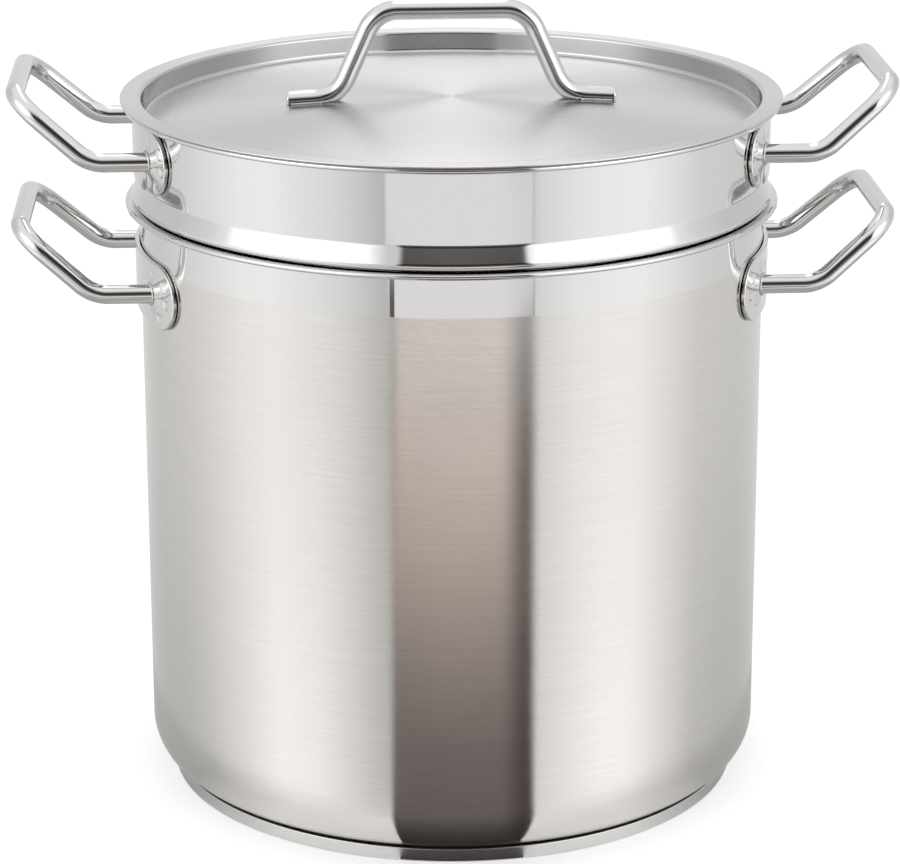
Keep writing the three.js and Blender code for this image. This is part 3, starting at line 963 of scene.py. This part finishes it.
def weld_beads(owner, seams, closed, sizes):
    curve = bpy.data.curves.new(f"{owner}_seams", "CURVE")
    curve.dimensions = "3D"
    for seam in seams:
        spline = curve.splines.new("POLY")
        spline.points.add(len(seam) - 1)
        for point, place in zip(spline.points, seam):
            point.co = (*place, 1)
        spline.use_cyclic_u = closed
    maker = bpy.data.objects.new(f"{owner}_seams", curve)
    scene.collection.objects.link(maker)
    run_tree(maker, WELD_BEAD, {"Point Spacing": POINT_SPACING, "Steel": weld_steel, **sizes})
    return plain_mesh(maker, f"{owner}_weld_beads")


print("welds get a point every", POINT_SPACING / MM, "mm")

# %% Side handle welds
BEAD_RADIUS, BEAD_OFFSET, BEAD_ON_BOSS = 0.65 * MM, 0.45, 0.75
SEAM_STEPS = 64


def rod_seam(height, y, turn):
    reach = ROD_RADIUS + BEAD_OFFSET * BEAD_RADIUS
    seam = []
    for i in range(SEAM_STEPS):
        a = 2 * pi * i / SEAM_STEPS
        side = y + reach * cos(a)
        out = sqrt((strap_outer + BEAD_ON_BOSS * BOSS_HEIGHT) ** 2 - side**2)
        seam.append((turn * out, turn * side, height + reach * sin(a)))
    return seam


rod_feet = [(y, turn) for turn in (1, -1) for y in (-WELD_SPACING / 2, WELD_SPACING / 2)]
for seed, (owner, height) in enumerate(rod_heights.items(), 3):
    beads = weld_beads(owner, [rod_seam(height, y, turn) for y, turn in rod_feet], True, {
        "Bead Radius": BEAD_RADIUS, "Ripple Length": 1.5 * MM, "Ripple Depth": 0.05,
        "Unevenness": 0.35 * MM, "Seed": float(seed),
    })
    nodes = [f"{owner}_weld_{side}_{end}" for side in ("left", "right") for end in ("front", "rear")]
    dress(beads, owner, "weld_steel", *nodes)

# %% [markdown]
# ## Insert
# The insert is a second drawn cup that hangs inside the pot. A bead pressed into its wall rests on
# the pot's lip, a plain polished band stands above it, and the lower wall and the floor are punched
# with holes so that water drains. Holes repeat by a rule, so Geometry Nodes lay four-sided tiles on
# a flat grid, every other one with a round hole, roll the grid round the drum, and fill the floor
# between its rings of holes. The plain parts are turned as before and joined on, and Solidify gives
# the one sheet its thickness.

# %% Insert sizes
HOLE_RADIUS, HOLE_MARGIN = 3.5 * MM, 8 * MM
HOLE_ROWS, HOLE_COLUMNS = 7, 40
HOLE_RINGS, RING_HOLES = 4, 6
PLAIN_HEIGHT = 58 * MM
INSERT_PLAY, INSERT_CORNER = 1.2 * MM, 14 * MM
insert_floor, insert_rim = (corner.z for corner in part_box("insert_shell"))
drum = wall_radius - SHEET - INSERT_PLAY
first_row = insert_floor + INSERT_CORNER + HOLE_MARGIN + HOLE_RADIUS
last_row = pot_rim - PLAIN_HEIGHT - HOLE_RADIUS
row_pitch = (last_row - first_row) / (HOLE_ROWS - 1)
wall_start, wall_end = first_row - row_pitch / 2, last_row + row_pitch / 2
outer_ring = drum - INSERT_CORNER - HOLE_MARGIN - HOLE_RADIUS
corner_radius = wall_start - insert_floor
floor_edge = drum - corner_radius
print(f"{HOLE_ROWS * HOLE_COLUMNS // 2} wall holes, rows {row_pitch / MM:.1f} mm apart")

# %% Insert tiles
TILE_STEPS, FIRST_CORNER = 6, radians(-135)
TILE_RINGS = (0.0, 0.4, 0.75, 0.93, 1.0)
tile_wide, tile_high = 2 * pi * drum / HOLE_COLUMNS, row_pitch
tile_steps = [i / TILE_STEPS - 0.5 for i in range(TILE_STEPS + 1)]


def holed_tile():
    half = [(step, -0.5) for step in tile_steps[:-1]] + [(0.5, step) for step in tile_steps[:-1]]
    edge = [(x * tile_wide, y * tile_high) for x, y in half + [(-x, -y) for x, y in half]]
    verts = []
    for share in TILE_RINGS:
        for i, (x, y) in enumerate(edge):
            angle = 2 * pi * i / len(edge) + FIRST_CORNER
            hole_x, hole_y = HOLE_RADIUS * cos(angle), HOLE_RADIUS * sin(angle)
            verts.append((x + (hole_x - x) * share, y + (hole_y - y) * share, 0.0))
    return verts, strips(len(TILE_RINGS), len(edge))


def plain_tile():
    verts = [(x * tile_wide, y * tile_high, 0.0) for y in tile_steps for x in tile_steps]
    return verts, strips(len(tile_steps), len(tile_steps), closed=False)


holed = mesh_piece("holed_tile", *holed_tile(), band_steel)
plain = mesh_piece("plain_tile", *plain_tile(), band_steel)
print("tile", round(tile_wide / MM, 1), "by", round(tile_high / MM, 1), "mm")

# %% Basket wall nodes
# A point for each tile is laid out by its number, every other tile gets a hole, and the flat wall
# is rolled up.
def basket_wall(tree, value):
    number = wire(add(tree, "GeometryNodeInputIndex"))
    columns, radius = value["Columns"], value["Drum Radius"]
    row = calc("FLOOR", (number + 0.5) / columns)
    column = number - row * columns
    right = (column + 0.5) * (radius * (2 * pi) / columns)
    spot = point_at(tree, right, (row + 0.5) * value["Row Pitch"] + value["Wall Start"])
    dots = add(tree, "GeometryNodePoints", {"Count": value["Rows"] * columns, "Position": spot})
    odd = {0: calc("MODULO", row + column, 2.0), 1: 0.5}
    odd = add(tree, "FunctionNodeCompare", odd, data_type="FLOAT", operation="GREATER_THAN")
    even = add(tree, "FunctionNodeBooleanMath", {0: odd}, operation="NOT")
    wall = add(tree, "GeometryNodeJoinGeometry")
    for name, chosen in (("Holed Tile", even), ("Plain Tile", odd)):
        tile = wire(add(tree, "GeometryNodeObjectInfo", {"Object": value[name]}), "Geometry")
        laid = {"Points": dots, "Selection": chosen, "Instance": tile}
        feed(wall.inputs[0], add(tree, "GeometryNodeInstanceOnPoints", laid))
    flat = add(tree, "GeometryNodeRealizeInstances", {0: wall})
    x, y, _ = parts(wire(add(tree, "GeometryNodeInputPosition")))
    angle = x / radius
    bent = point_at(tree, calc("COSINE", angle) * radius, calc("SINE", angle) * radius, y)
    return add(tree, "GeometryNodeSetPosition", {"Geometry": flat, "Position": bent})


print("basket wall nodes ready")

# %% Basket floor nodes
# Each ring has six holes more than the one inside it, so a square root gives the ring that a
# hole's number falls in. The outlines of the holes and of the edge are filled between.
ROOT_GUARD = 1.0001


def basket_floor(tree, value):
    order = wire(add(tree, "GeometryNodeInputIndex"))
    half_step = value["Ring Holes"] * 0.5
    inside = most((order - 1.0) / half_step, 0.0)
    ring = calc("FLOOR", (calc("SQRT", inside * 4.0 + ROOT_GUARD) + 1.0) * 0.5) * (order > 0.5)
    before = (ring - 1.0) * ring * half_step + 1.0
    turn = (order - before + 0.5) / most(ring * value["Ring Holes"], 1.0) * (2 * pi)
    out = ring * value["Ring Pitch"]
    middle = point_at(tree, calc("COSINE", turn) * out, calc("SINE", turn) * out)
    holes = (value["Rings"] + 1.0) * value["Rings"] * half_step + 1.0
    spots = add(tree, "GeometryNodePoints", {"Count": holes, "Position": middle})
    hole = circle(tree, 4 * TILE_STEPS, value["Hole Radius"])
    punched = add(tree, "GeometryNodeInstanceOnPoints", {"Points": spots, "Instance": hole})
    outlines = add(tree, "GeometryNodeJoinGeometry")
    for part in (circle(tree, SEGMENTS, value["Floor Edge"]), punched):
        feed(outlines.inputs[0], part)
    single = add(tree, "GeometryNodeRealizeInstances", {0: outlines})
    filled = add(tree, "GeometryNodeFillCurve", {"Curve": single})
    down = add(tree, "GeometryNodeFlipFaces", {0: filled})
    drop = point_at(tree, z=value["Floor Height"])
    return add(tree, "GeometryNodeSetPosition", {"Geometry": down, "Offset": drop})


print("basket floor nodes ready")

# %% Perforated basket tree
SEWING = 0.02 * MM
BASKET_INPUTS = [
    ("Geometry", "Geometry"), ("Drum Radius", "Float"), ("Wall Start", "Float"), ("Row Pitch", "Float"),
    ("Rows", "Int"), ("Columns", "Int"), ("Holed Tile", "Object"), ("Plain Tile", "Object"),
    ("Floor Height", "Float"), ("Floor Edge", "Float"), ("Ring Pitch", "Float"), ("Rings", "Int"),
    ("Ring Holes", "Int"), ("Hole Radius", "Float"), ("Steel", "Material"),
]


def basket_tree():
    outputs = [("Geometry", "Geometry")]
    tree, value, result = new_group("Perforated basket", "GeometryNodeTree", BASKET_INPUTS, outputs)
    wall, floor = basket_wall(tree, value), basket_floor(tree, value)
    joined = add(tree, "GeometryNodeJoinGeometry")
    for part in (value["Geometry"], wall, floor):
        feed(joined.inputs[0], part)
    sewn = add(tree, "GeometryNodeMergeByDistance", {"Geometry": joined, "Distance": SEWING})
    return coated(tree, sewn, value["Steel"], result)


PERFORATED_BASKET = basket_tree()
print("tree:", PERFORATED_BASKET.name)

# %% Insert sheet
SEAT_WIDTH, SEAT_ROUND, SEAT_SLOPE = 3.2 * MM, 2.3 * MM, radians(23)
SEAT_HOLLOW, SEAT_FILLET = 3 * MM, 0.9 * MM
CURL_DROP, CURL_INSET = 0.1 * MM, 0.7 * MM
seat_bottom = pot_rim + FIT_GAP


def seat_curve():
    slope = degrees(SEAT_SLOPE)
    edge = (wall_radius + SEAT_WIDTH - SEAT_ROUND, seat_bottom + SEAT_ROUND)
    leaves = (edge[0] + SEAT_ROUND * cos(SEAT_SLOPE), edge[1] + SEAT_ROUND * sin(SEAT_SLOPE))
    meets = leaves[1] + (leaves[0] - wall_radius) / tan(SEAT_SLOPE)
    hollow = (wall_radius + SEAT_HOLLOW, meets + SEAT_HOLLOW * tan(SEAT_SLOPE / 2))
    return [
        *arc(drum + SEAT_FILLET, seat_bottom - SEAT_FILLET, SEAT_FILLET, 180, 90, 5),
        *arc(*edge, SEAT_ROUND, -90, slope, 9),
        *arc(*hollow, SEAT_HOLLOW, 180 + slope, 180, 6),
    ]


def lip_sheet(wall, top):
    curl = LIP_BEAD / 2
    return [
        *arc(wall + LIP_BEND, top - SHEET - LIP_BEND, LIP_BEND, 180, 90, 5),
        *arc(wall + LIP_WIDTH - curl, top - curl - CURL_DROP, curl - CURL_INSET, 90, -60, 6),
    ]


bottom_sheet = arc(floor_edge, insert_floor + corner_radius, corner_radius, -90, 0, 14)
top_sheet = [(drum, wall_end), *seat_curve(), *lip_sheet(wall_radius, insert_rim)]
bottom_verts, bottom_faces = turned(bottom_sheet)
top_verts, top_faces = turned(held(top_sheet))
top_faces = [tuple(index + len(bottom_verts) for index in corners) for corners in top_faces]
basket_maker = mesh_piece("basket_sheet", bottom_verts + top_verts, bottom_faces + top_faces, band_steel)
run_tree(basket_maker, PERFORATED_BASKET, {
    "Drum Radius": drum, "Wall Start": wall_start, "Row Pitch": row_pitch, "Rows": HOLE_ROWS,
    "Columns": HOLE_COLUMNS, "Holed Tile": holed, "Plain Tile": plain, "Floor Height": insert_floor,
    "Floor Edge": floor_edge, "Ring Pitch": outer_ring / HOLE_RINGS, "Rings": HOLE_RINGS,
    "Ring Holes": RING_HOLES, "Hole Radius": HOLE_RADIUS, "Steel": band_steel,
})
thin_basket = measured(plain_mesh(basket_maker, "basket_sheet_joined"))
for tile in (holed, plain):
    bpy.data.objects.remove(tile)

# %% Insert thickness
thicken = thin_basket.modifiers.new("Sheet", "SOLIDIFY")
thicken.thickness = SHEET
thicken.offset = -1
thicken.use_even_offset = True
thicken.use_quality_normals = True
basket = plain_mesh(thin_basket, "insert_basket")
basket.data.shade_smooth()
basket.data.set_sharp_from_angle(angle=SHARP)
dress(basket, "insert", "polished_steel", "insert_shell")

# %% [markdown]
# ## Lid
# The lid is a shallow pan, drawn so that its middle sits below its flange and springs up again in a
# flat dome. The dome sheds drips and stiffens the disc. It is one turned sheet, finely stepped
# across the dome so that the brushed highlight stays smooth.

# %% Lid pan
LID_SHEET, LID_WALL_GAP = 0.8 * MM, 2.3 * MM
LID_BEND, LID_CORNER = 0.8 * MM, 2.0 * MM
LID_CROWN, CROWN_EDGE, CROWN_STEPS = 7.9 * MM, 1.5 * MM, 30
lid_low, lid_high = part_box("lid_pan")
flange_bottom, disc_edge = lid_high.z - LID_SHEET, lid_low.z + LID_SHEET
lid_wall = wall_radius - LID_WALL_GAP
disc_radius = lid_wall - LID_CORNER


def crown(radius):
    return disc_edge + LID_CROWN * (1 - (radius / disc_radius) ** 2)


def crown_points(offset):
    reaches = [(disc_radius - CROWN_EDGE) * i / CROWN_STEPS for i in range(CROWN_STEPS + 1)]
    return [(reach, crown(reach) + offset) for reach in reaches]


lid_bend = (lid_wall + LID_SHEET + LID_BEND, flange_bottom - LID_BEND)
lid_corner = (disc_radius, disc_edge + LID_CORNER)
lid_edge = LID_SHEET / 2
lid_profile = [
    *crown_points(-LID_SHEET),
    *arc(*lid_corner, LID_CORNER + LID_SHEET, -90, 0, 8),
    *arc(*lid_bend, LID_BEND, 180, 90, 6),
    *arc(lid_high.x - lid_edge, flange_bottom + lid_edge, lid_edge, -90, 90, 8),
    *arc(*lid_bend, LID_BEND + LID_SHEET, 90, 180, 8),
    *arc(*lid_corner, LID_CORNER, 0, -90, 8),
    *reversed(crown_points(0)),
]
lid_pan = mesh_piece("lid_dish", *turned(held(lid_profile)), lid_steel)
dress(lid_pan, "lid", "satin_steel", "lid_pan")

# %% [markdown]
# ## Lid handle
# One rod makes the lid's handle: two feet lie along the dome, two legs rise from them and a short
# grip joins the legs. The feet are pressed flat underneath so that they sit on the dome. The ends
# are rounded over, as a rod is after cropping and tumbling.

# %% Lid handle line
KNOB_RADIUS, KNOB_STEP = 4.45 * MM, 1.5 * MM
KNOB_HALF, KNOB_SPREAD, KNOB_RISE = 33.6 * MM, 17.4 * MM, 39.3 * MM
KNOB_FOOT, FOOT_HEIGHT, FOOT_WELD = 22.8 * MM, 5.3 * MM, 16 * MM
FOOT_BEND, TOP_BEND = 15.8 * MM, 15 * MM
leg_foot = KNOB_HALF + KNOB_SPREAD
foot_end = leg_foot + KNOB_FOOT
foot_middle = foot_end - FOOT_WELD / 2
foot_slope = -2 * LID_CROWN * foot_middle / disc_radius**2


def foot_line(reach):
    return crown(foot_middle) + foot_slope * (reach - foot_middle) + FIT_GAP + FOOT_HEIGHT - KNOB_RADIUS


def finer(line, step):
    out = [line[0]]
    for before, after in zip(line, line[1:]):
        count = max(1, round((after - before).length / step))
        out += [before.lerp(after, i / count) for i in range(1, count + 1)]
    return out


right_half = [(KNOB_HALF, 0, crown(0) + KNOB_RISE), *((x, 0, foot_line(x)) for x in (leg_foot, foot_end))]
left_half = [(-x, y, z) for x, y, z in reversed(right_half)]
knob_line = bent_line(left_half + right_half, (FOOT_BEND, TOP_BEND, TOP_BEND, FOOT_BEND))
knob_line = finer(knob_line, KNOB_STEP)
print("lid handle bent over", len(knob_line), "points")

# %% Lid handle
END_ROUND, ROUND_STEPS = 0.9 * MM, 5


def rounded_end(ring, next_ring):
    middle, further = sum(ring, Vector()) / len(ring), sum(next_ring, Vector()) / len(next_ring)
    ahead = (further - middle).normalized()
    eased = []
    for k in range(ROUND_STEPS + 1):
        a = pi / 2 * k / ROUND_STEPS
        shrink = 1 - END_ROUND * (1 - sin(a)) / KNOB_RADIUS
        eased.append([middle + (p - middle) * shrink + ahead * END_ROUND * (1 - cos(a)) for p in ring])
    return eased


knob_rings = rod_rings(knob_line, KNOB_RADIUS, Vector((0, 1, 0)))
knob_start, knob_end = rounded_end(*knob_rings[:2]), rounded_end(*knob_rings[:-3:-1])
knob_rings = knob_start + knob_rings[1:-1] + knob_end[::-1]
for ring in knob_rings:
    for point in ring:
        point.z = max(point.z, crown(hypot(point.x, point.y)) + FIT_GAP)
lid_rod = mesh_piece("lid_rod", *rod_mesh(knob_rings), rod_steel)
dress(lid_rod, "lid", "polished_steel", "lid_handle")

# %% Lid welds
FOOT_BEAD, FOOT_OFFSET, FOOT_SINK = 0.6 * MM, 0.1, 0.4
FOOT_STEPS = 24


def foot_seam(side, edge):
    aside = sqrt(KNOB_RADIUS**2 - (FOOT_HEIGHT - KNOB_RADIUS) ** 2) + FOOT_OFFSET * FOOT_BEAD
    length = FOOT_WELD - 2 * END_ROUND
    reaches = [foot_end - FOOT_WELD + length * i / FOOT_STEPS for i in range(FOOT_STEPS + 1)]
    return [(side * x, edge * aside, crown(hypot(x, aside)) + FOOT_SINK * FOOT_BEAD) for x in reaches]


foot_seams = [foot_seam(side, edge) for side in (-1, 1) for edge in (-1, 1)]
lid_beads = weld_beads("lid", foot_seams, False, {
    "Bead Radius": FOOT_BEAD, "Ripple Length": 1.7 * MM, "Ripple Depth": 0.1,
    "Unevenness": 0.4 * MM, "Seed": 5.0,
})
dress(lid_beads, "lid", "weld_steel", "lid_weld_left", "lid_weld_right")
